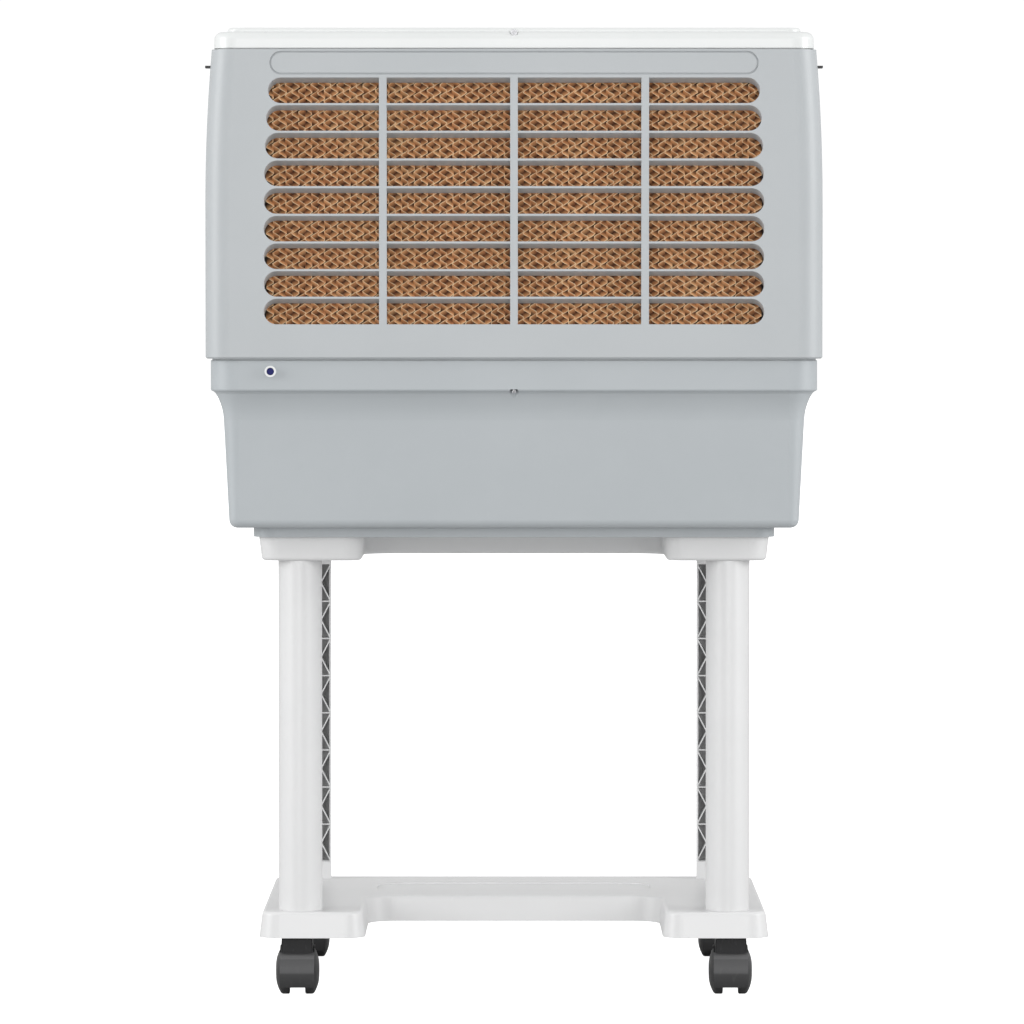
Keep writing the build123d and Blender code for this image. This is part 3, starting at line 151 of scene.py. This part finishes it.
class Finish(Graph):
    """One material: a Principled shader and whatever nodes its surface needs."""

    def __init__(self, name, **constant):
        self.material = bpy.data.materials.new(name)
        self.material.use_nodes = True
        super().__init__(self.material.node_tree)
        self.shader = self.tree.nodes["Principled BSDF"]
        for socket, value in constant.items():
            self.shader.inputs[socket.replace("_", " ")].default_value = value

    def place(self):
        """Object coordinates, which are metres in the frame for every part."""
        return self.node("TexCoord", out=3)

    def noise(self, scale, detail=2.0, roughness=0.5, stretch=None):
        """Noise from 0 to 1, centred on a half; stretch scales the three axes."""
        where = self.place()
        if stretch:
            where = self.node("Mapping", None, {"Vector": where, "Scale": stretch})
        return self.node("TexNoise", None, {"Vector": where, "Scale": scale, "Detail": detail,
                                            "Roughness": roughness})

    def cells(self, scale, feature="F1"):
        """Distance to scattered points, for orange peel and spangle."""
        sockets = {"Vector": self.place(), "Scale": scale}
        return self.node("TexVoronoi", {"feature": feature}, sockets)

    def axis(self, letter):
        """One coordinate in metres."""
        return self.node("SeparateXYZ", None, {0: self.place()}, out="XYZ".index(letter))

    def ramp(self, value, *stops):
        """A colour picked along stops of (position, colour)."""
        return self.node("ValToRGB", {"stops": stops}, {"Fac": value})

    def band(self, value, low, high):
        """0 below low, 1 above high, smooth between."""
        return self.node("MapRange", {"interpolation_type": "SMOOTHSTEP"},
                         {"Value": value, "From Min": low, "From Max": high})

    def mix(self, factor, first, second):
        """Blend two colours."""
        return self.node("Mix", {"data_type": "RGBA"}, {0: factor, 6: first, 7: second}, out=2)

    def edge_wear(self, radius):
        """A normal that rounds hard edges by radius, as every moulded or cut edge is."""
        return self.node("Bevel", {"samples": 4}, {"Radius": radius})

    def finish(self, colour, roughness, height, depth, strength=1.0, edge=None):
        """Plug in what varies over the surface; height in 0..1 becomes bump of that depth."""
        self.plug(self.shader.inputs["Base Color"], colour)
        self.plug(self.shader.inputs["Roughness"], roughness)
        sockets = {"Height": height, "Distance": depth, "Strength": strength}
        if edge:
            sockets["Normal"] = self.edge_wear(edge)
        self.plug(self.shader.inputs["Normal"], self.node("Bump", None, sockets))
        return self.material


print("shader helpers ready")

# %% [markdown]
# Most of the cooler is injection-moulded plastic. Its steel mould is spark-eroded, which leaves a
# grain of about a third of a millimetre; thick sections cool later and sink a little, so broad
# faces are never quite flat; and the pigment is not perfectly even. One function makes all of
# these plastics, and each part's finish chooses how much it has of each.

# %% moulded plastic
EVEN_LOW, EVEN_HIGH = 0.36, 0.64       # noise between these drifts from dark to light
RUB_LOW, RUB_HIGH = 0.60, 0.78         # noise above these is rubbed
RUB_LEAST = 0.10                       # what even a clean part has of it
STREAKED = (1.0, 1.0, 0.35)            # rub marks run up and down


def moulded_plastic(name, light, dark, gloss, grain=2600.0, grain_depth=0.00004, sink=0.0006,
                    edge=0.0007, scuff=0.0, coat=0.0):
    """Colour drifts between light and dark; roughness and bump come from grain plus sink."""
    f = Finish(name, Coat_Weight=coat, Coat_Roughness=0.25)
    grain_noise = f.noise(grain, detail=1.0)
    broad = f.noise(7.0, detail=3.0, roughness=0.55)
    cloud = f.noise(42.0, detail=4.0, roughness=0.6)
    drift = (broad * 0.7 + cloud * 0.3).clipped()
    colour = f.mix(f.band(drift, EVEN_LOW, EVEN_HIGH), dark, light)
    rub = f.band(f.noise(160.0, detail=6.0, roughness=0.7, stretch=STREAKED), RUB_LOW, RUB_HIGH)
    rubbed = rub * (RUB_LEAST + scuff)
    colour = f.mix(rubbed, colour, tuple(min(1.0, c * 1.25 + 0.02) for c in light))
    rough = gloss + (cloud - 0.5) * 0.12 + rubbed + (grain_noise - 0.5) * 0.05
    height = grain_noise * (grain_depth / sink) + broad
    return f.finish(colour=colour, roughness=rough.clipped(), height=height, depth=sink,
                    strength=0.5, edge=edge)


# Painted light and shade on the castor hood: each row paints a tone from a height upwards. The bands
# are lighter where the hood's upper facets would catch light, and near-black on the swivel block for
# the tray's shadow.
HOOD_PAINTED_SHADING = (              # metres above the floor: where a shade starts, where it is full
    (0.0225, 0.0255, (0.088, 0.088, 0.090)),
    (0.0380, 0.0400, (0.125, 0.125, 0.127)),
    (0.0452, 0.0462, (0.010, 0.010, 0.011)),
)


def castor_plastic():
    """Glass-filled nylon with scuffs, and painted shading: painted bands up the hood, lightest near
    its top, and a painted shadow that turns the swivel block under the tray black.
    """
    f = Finish("castor_hood", Specular_IOR_Level=0.25)
    grain = f.noise(1400.0, detail=3.0, roughness=0.6)
    rub = f.band(f.noise(190.0, detail=5.0, stretch=(1.0, 1.0, 0.4)), 0.55, 0.75)
    height = f.axis("Z")
    colour = (0.050, 0.050, 0.051)
    # painted shading: the hood darkens in steps towards the floor, and the swivel block is painted
    # black as shadow
    for start, full, painted_tone in HOOD_PAINTED_SHADING:
        colour = f.mix(f.band(height, start, full), colour, painted_tone)
    colour = f.mix(rub * 0.12, colour, (0.16, 0.16, 0.16))
    rough = (0.42 + rub * 0.15 + (grain - 0.5) * 0.1).clipped()
    return f.finish(colour=colour, roughness=rough, height=grain, depth=0.00008, edge=0.0006)


finishes = {
    "grey_panel": moulded_plastic("grey_panel", (0.455, 0.478, 0.492), (0.440, 0.464, 0.478), 0.42),
    "grey_tank": moulded_plastic("grey_tank", (0.428, 0.457, 0.475), (0.414, 0.443, 0.461), 0.44),
    "white_lid": moulded_plastic("white_lid", (0.755, 0.770, 0.765), (0.735, 0.752, 0.746), 0.30,
                                 coat=0.15),
    "white_trolley": moulded_plastic("white_trolley", (0.715, 0.716, 0.718), (0.698, 0.700, 0.702),
                                     0.34, scuff=0.05),
    "white_fitting": moulded_plastic("white_fitting", (0.78, 0.79, 0.79), (0.74, 0.75, 0.75), 0.35,
                                     edge=0.0003),
    "black_plastic": moulded_plastic("black_plastic", (0.030, 0.030, 0.032), (0.020, 0.020, 0.021),
                                     0.45, edge=0.0004),
    "castor_hood": castor_plastic(),
    "castor_wheel": moulded_plastic("castor_wheel", (0.024, 0.024, 0.025), (0.016, 0.016, 0.017),
                                    0.40, scuff=0.15, edge=0.0005),
    "vane_plastic": moulded_plastic("vane_plastic", (0.46, 0.485, 0.50), (0.43, 0.455, 0.47), 0.36,
                                    edge=0.0004),
    "control_grey": moulded_plastic("control_grey", (0.17, 0.178, 0.185), (0.15, 0.158, 0.165),
                                    0.50, grain=1500.0, grain_depth=0.00012, edge=0.0004),
    "knob_plastic": moulded_plastic("knob_plastic", (0.80, 0.81, 0.82), (0.77, 0.78, 0.79), 0.26,
                                    coat=0.3, edge=0.0006),
    "fan_plastic": moulded_plastic("fan_plastic", (0.60, 0.62, 0.64), (0.56, 0.58, 0.60), 0.30,
                                   coat=0.1),
    "float_plastic": moulded_plastic("float_plastic", (0.66, 0.16, 0.05), (0.58, 0.12, 0.035),
                                     0.28, coat=0.2, edge=0.0003),
}
print(len(finishes), "moulded plastics")

# %% [markdown]
# Metals differ in how their surface was made. Cut steel keeps fine lines from the tool, zinc
# plate freezes into spangles, and a motor's can is dipped in enamel that levels to orange peel.
# Each is one short function of noise or cells, with metallic constant on the shader.

# %% metals
def turned_steel():
    """Steel with fine machining lines under a grey film."""
    f = Finish("steel", Metallic=1.0)
    lines = f.noise(900.0, detail=3.0, stretch=(1.0, 1.0, 0.2))
    film = f.noise(60.0, detail=4.0)
    colour = f.mix(film, (0.30, 0.30, 0.31), (0.44, 0.44, 0.45))
    rough = (0.22 + lines * 0.16 + film * 0.10).clipped()
    return f.finish(colour=colour, roughness=rough, height=lines, depth=0.00003, edge=0.0002)


def zinc_plate():
    """Zinc-plated sheet: flat spangles that each reflect a little differently."""
    f = Finish("zinc_plate", Metallic=1.0)
    spangle = f.cells(240.0)
    stain = f.noise(30.0, detail=5.0, roughness=0.65)
    tone = (spangle * 1.4 + stain * 0.4).clipped()
    colour = f.mix(tone, (0.44, 0.45, 0.46), (0.68, 0.69, 0.70))
    rough = (0.30 + tone * 0.22).clipped()
    return f.finish(colour=colour, roughness=rough, height=spangle, depth=0.00004, edge=0.0003)


def motor_enamel():
    """Black stoving enamel with orange peel and soft cloudy patches."""
    f = Finish("motor_paint", Coat_Roughness=0.15)
    peel = f.cells(520.0, feature="SMOOTH_F1")
    cloud = f.noise(38.0, detail=4.0)
    colour = f.mix(cloud, (0.018, 0.018, 0.020), (0.040, 0.040, 0.043))
    rough = (0.30 + cloud * 0.18).clipped()
    return f.finish(colour=colour, roughness=rough, height=peel, depth=0.00006, edge=0.0005)


finishes["steel"] = turned_steel()
finishes["zinc_plate"] = zinc_plate()
finishes["motor_paint"] = motor_enamel()
print("three metals")

# %% [markdown]
# Rubber is dull because its surface is full of fine pits and blooms with a pale wax. The riser
# hose is soft milky vinyl, which lets some light through and shows faint extrusion lines.

# %% rubber and hose
def rubber(name, light, dark):
    """Matt rubber: fine pits, and a pale bloom in soft patches."""
    f = Finish(name)
    pits = f.noise(1500.0, detail=3.0, roughness=0.7)
    bloom = f.band(f.noise(75.0, detail=4.0), 0.45, 0.75)
    colour = f.mix(bloom * 0.6, dark, light)
    rough = (0.62 + pits * 0.2).clipped()
    return f.finish(colour=colour, roughness=rough, height=pits, depth=0.00008, edge=0.0003)


def soft_vinyl():
    """Milky vinyl hose with faint upright lines and an uneven milkiness."""
    f = Finish("hose_pvc", Subsurface_Weight=0.25, Subsurface_Scale=0.004)
    lines = f.noise(700.0, detail=2.0, stretch=(1.0, 1.0, 0.04))
    cloud = f.noise(50.0, detail=3.0)
    colour = f.mix(cloud, (0.58, 0.62, 0.62), (0.70, 0.73, 0.72))
    rough = (0.28 + lines * 0.15).clipped()
    return f.finish(colour=colour, roughness=rough, height=lines, depth=0.00005, edge=0.0003)


finishes["navy_rubber"] = rubber("navy_rubber", (0.012, 0.016, 0.15), (0.004, 0.006, 0.10))
finishes["black_rubber"] = rubber("black_rubber", (0.05, 0.05, 0.05), (0.016, 0.016, 0.016))
finishes["hose_pvc"] = soft_vinyl()
print(len(finishes), "finishes so far")

# %% [markdown]
# Cooling pads are kraft paper soaked in resin: rust brown, darker where the resin pooled, with water
# marks that run down. A painted highlight lightens the cut edges of the sheets, and painted shade
# darkens the sheets deeper inside the pad.

# %% cellulose
pad_low, pad_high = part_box("rear_pad")
PAD_DEPTH = float(pad_high[1] - pad_low[1])
print("pads are", round(PAD_DEPTH * 1000, 1), "mm deep")


def cellulose(name):
    """Resin-soaked paper: fibres, pools, water marks, a painted highlight on the cut edges and
    painted shade inside.

    The pads' meshes carry an attribute "depth", the distance in metres from the outer face.
    """
    f = Finish(name, Sheen_Weight=0.15, Sheen_Roughness=0.6)
    fibre = f.noise(900.0, detail=5.0, roughness=0.7, stretch=(1.0, 1.0, 0.5))
    pool = f.noise(95.0, detail=4.0, roughness=0.6)
    streak = f.noise(22.0, detail=3.0, stretch=(1.0, 1.0, 0.12))
    tone = (pool * 0.55 + fibre * 0.30 + streak * 0.15).clipped()
    colour = f.ramp(tone, (0.34, (0.46, 0.170, 0.056)), (0.50, (0.78, 0.370, 0.150)),
                    (0.66, (0.94, 0.60, 0.30)))
    depth = f.node("Attribute", {"attribute_name": "depth"}, out=2)
    depth = depth.maths("MINIMUM", depth, PAD_DEPTH - depth)
    # painted shade: the sheets are painted near-black with distance from the nearer face, for the
    # shade deep inside the flutes
    inside = f.band(depth + (pool - 0.5) * 0.002, 0.0005, 0.0085)
    colour = f.mix(inside, colour, (0.085, 0.030, 0.012))
    # painted highlight: the sheets' cut edges within a millimetre of either face are painted pale, as
    # if catching the light
    cut = f.band(depth + (fibre - 0.5) * 0.0006, 0.0009, 0.0001)
    colour = f.mix(cut * 0.85, colour, (0.95, 0.70, 0.42))
    rough = (0.72 + fibre * 0.2).clipped()
    return f.finish(colour=colour, roughness=rough, height=fibre, depth=0.00012)


finishes["cellulose_pad"] = cellulose("cellulose_pad")
print("cellulose ready")

# %% [markdown]
# The engineering model arrives in flat colours, one for each slot of its record, which also says
# which slot each part belongs to. Painting part by part would repeat the same lines sixty times,
# so one loop gives each part the finish that carries its slot's name.

# %% every part takes the finish of its slot
for row in frame["record"]["subparts"]:
    part = nodes[row["node"]]
    part.data.materials.clear()
    part.data.materials.append(finishes[row["material_slot"]])

# %% [markdown]
# A cooling pad is a stack of corrugated sheets. Each sheet's flutes run inwards and upwards or
# inwards and downwards in turn, so seen from outside the cut edges and flute walls make chevrons.
# It could be faked with a bump pattern on a block, but then the slots would show a flat wall.
# Here each sheet is a real folded surface. The fold is a zigzag that slides up or down with depth:
# a point at depth d and flute coordinate v has height v + lean * (d - depth / 2), and stands
# sideways by amplitude * zigzag(v / wave). Flutes are straight, so two points carry each one.

# %% corrugated pads
FLUTE_WAVE = 0.0113          # height of one wave at the cut face
SHEET_PITCH = 0.00675
SHEET_THICKNESS = 0.0009
CREST_OVERLAP = 0.62         # crest height as a share of the pitch; over a half, sheets touch
POINTS_PER_WAVE = 6
PHASE_DRIFT = 0.06           # turns by which a sheet may be out of step
RAGGED = 0.0005              # metres that a cut edge may stand back
LEAST_DEPTH = 1e-5           # keeps a sheet's far edge behind its near one
rng = np.random.default_rng(11)


def zigzag(turns):
    """A triangle wave from -1 to 1 with its tips slightly rounded: arcsin of 0.94 sine."""
    return np.arcsin(0.94 * np.sin(2 * np.pi * turns)) / np.arcsin(0.94)


def corrugated_pad(low, high, across):
    """Sheets side by side along one axis; the other level axis is depth from the outer face.

    Each sheet is a tube of four points round, near and far on both faces, carried up the pad.
    """
    depth_axis = 1 - across
    width = high[across] - low[across]
    depth = high[depth_axis] - low[depth_axis]
    count = int(width / SHEET_PITCH)
    amplitude = width / count * CREST_OVERLAP
    centre = low[across] + amplitude + (np.arange(count) + 0.5) / count * (width - 2 * amplitude)
    lean = np.where(np.arange(count) % 2 == 0, 1.0, -1.0)
    phase = rng.uniform(-PHASE_DRIFT, PHASE_DRIFT, count) + 0.25 * (np.arange(count) % 4)
    steps = int((high[2] - low[2] + depth) / FLUTE_WAVE * POINTS_PER_WAVE)
    v = np.linspace(low[2] - depth / 2, high[2] + depth / 2, steps)
    k, vv = np.meshgrid(np.arange(count), v, indexing="ij")
    lift = lean[k]
    to_low = np.where(lift > 0, low[2] - vv, vv - high[2]) + depth / 2
    to_high = np.where(lift > 0, high[2] - vv, vv - low[2]) + depth / 2
    ragged = rng.uniform(0.0, RAGGED, vv.shape)
    near = np.clip(to_low, 0, depth) + ragged
    far = np.maximum(np.clip(to_high, 0, depth), near + LEAST_DEPTH)
    side = centre[k] + amplitude * zigzag(vv / FLUTE_WAVE + phase[k])
    points = np.empty((count, steps, 4, 3))
    for corner, (reach, face) in enumerate(((near, -1), (far, -1), (far, 1), (near, 1))):
        points[..., corner, across] = side + face * SHEET_THICKNESS / 2
        points[..., corner, depth_axis] = reach
        points[..., corner, 2] = np.clip(vv + lift * (reach - depth / 2), low[2], high[2])
    ring = np.arange(count * steps * 4).reshape(count, steps, 4)
    a, b = ring[:, :-1], ring[:, 1:]
    walls = np.stack([a, np.roll(a, -1, 2), np.roll(b, -1, 2), b], -1).reshape(-1, 4)
    caps = np.concatenate([ring[:, 0, ::-1], ring[:, -1, :]])
    return points, np.concatenate([walls, caps])


def make_pad(name, across, outer_is_low):
    """Build the pad inside its part's box, with depth measured from the outer face."""
    low, high = (np.array(c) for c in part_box(name))
    points, faces = corrugated_pad(low, high, across)
    depth_axis = 1 - across
    depth = points[..., depth_axis].astype(np.float32)
    points[..., depth_axis] = low[depth_axis] + depth if outer_is_low else high[depth_axis] - depth
    flip = (across == 0) == outer_is_low
    mesh = bpy.data.meshes.new(name + "_sheets")
    mesh.from_pydata(points.reshape(-1, 3).tolist(), [], (faces[:, ::-1] if flip else faces).tolist())
    mesh.attributes.new("depth", "FLOAT", "POINT").data.foreach_set("value", depth.ravel())
    mesh.materials.append(finishes["cellulose_pad"])
    pad = bpy.data.objects.new(name + "_sheets", mesh)
    bpy.context.scene.collection.objects.link(pad)
    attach(pad, "chassis")
    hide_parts(name)
    print(name, len(faces) * 2, "triangles in", points.shape[0], "sheets")


make_pad("rear_pad", 0, True)
make_pad("left_pad", 1, True)
make_pad("right_pad", 1, False)

# %% [markdown]
# The studio is a wide pale floor under an even white sky, with a soft box out at each side and a
# wide one behind the camera. The sky gives soft contact shadows, and the boxes add light from
# the sides and the front. The floor looks white to the camera but throws back less light than
# white paper would, so that undersides stay shaded.

# %% studio
FLOOR_RADIUS = 40.0
SKY_LIGHT = 0.76             # what the sky gives the object
SKY_SEEN = 1.05              # what the camera sees behind it


def pale_floor():
    """White to the eye, mid grey to the light that it bounces."""
    f = Finish("floor", Emission_Strength=1.0)
    tone = f.noise(3.0, detail=3.0)
    seen = f.node("LightPath")
    f.plug(f.shader.inputs["Emission Color"], f.mix(seen, (0, 0, 0), (1, 1, 1)))
    colour = f.mix(tone, (0.52, 0.52, 0.52), (0.54, 0.54, 0.54))
    f.plug(f.shader.inputs["Base Color"], colour)
    f.plug(f.shader.inputs["Roughness"], 0.9)
    return f.material


turns = np.linspace(0, 2 * np.pi, 65)[:-1]
floor_mesh = bpy.data.meshes.new("floor")
rim = np.stack([np.cos(turns), np.sin(turns), 0 * turns], -1) * FLOOR_RADIUS
floor_mesh.from_pydata(rim.tolist(), [], [list(range(len(turns)))])
floor_mesh.materials.append(pale_floor())
floor = bpy.data.objects.new("floor", floor_mesh)
bpy.context.scene.collection.objects.link(floor)

world = bpy.data.worlds.new("sky")
bpy.context.scene.world = world
world.use_nodes = True
sky = Graph(world.node_tree)
background = sky.tree.nodes["Background"]
sky.plug(background.inputs["Color"], (1, 1, 1))
seen_directly = sky.node("LightPath")
brightness = sky.node("MapRange", None, {"Value": seen_directly, "To Min": SKY_LIGHT,
                                         "To Max": SKY_SEEN})
sky.plug(background.inputs["Strength"], brightness)
print("floor", 2 * FLOOR_RADIUS, "m across, sky", SKY_LIGHT)

# %% [markdown]
# A rectangular area lamp is Blender's soft box: the larger it is, the softer its shadow. Its
# direction is worked out from where it stands and what it faces, as two turns: how far it tips
# up from straight down, and how far it turns round the vertical.

# %% soft boxes
def soft_box(name, place, aim, width, height, power):
    """A rectangular lamp at place, turned to face aim."""
    lamp = bpy.data.lights.new(name, "AREA")
    lamp.shape = "RECTANGLE"
    lamp.size = width
    lamp.size_y = height
    lamp.energy = power
    holder = bpy.data.objects.new(name, lamp)
    bpy.context.scene.collection.objects.link(holder)
    holder.location = place
    direction = np.array(aim) - np.array(place)
    reach = math.hypot(direction[0], direction[1])
    holder.rotation_euler = (math.atan2(reach, -direction[2]), 0,
                             math.atan2(direction[1], direction[0]) - math.pi / 2)


SIDE_POWER = 80
FRONT_POWER = 115
soft_box("box_left", (-4.0, -1.4, 1.6), (0, 0, 0.6), 2.0, 2.0, SIDE_POWER)
soft_box("box_right", (4.0, -1.4, 1.6), (0, 0, 0.6), 2.0, 2.0, SIDE_POWER)
soft_box("box_front", (0, -7.6, 0.8), (0, 0, 0.7), 4.0, 2.4, FRONT_POWER)
print("studio ready,", 2 * SIDE_POWER + FRONT_POWER, "watts in three boxes")
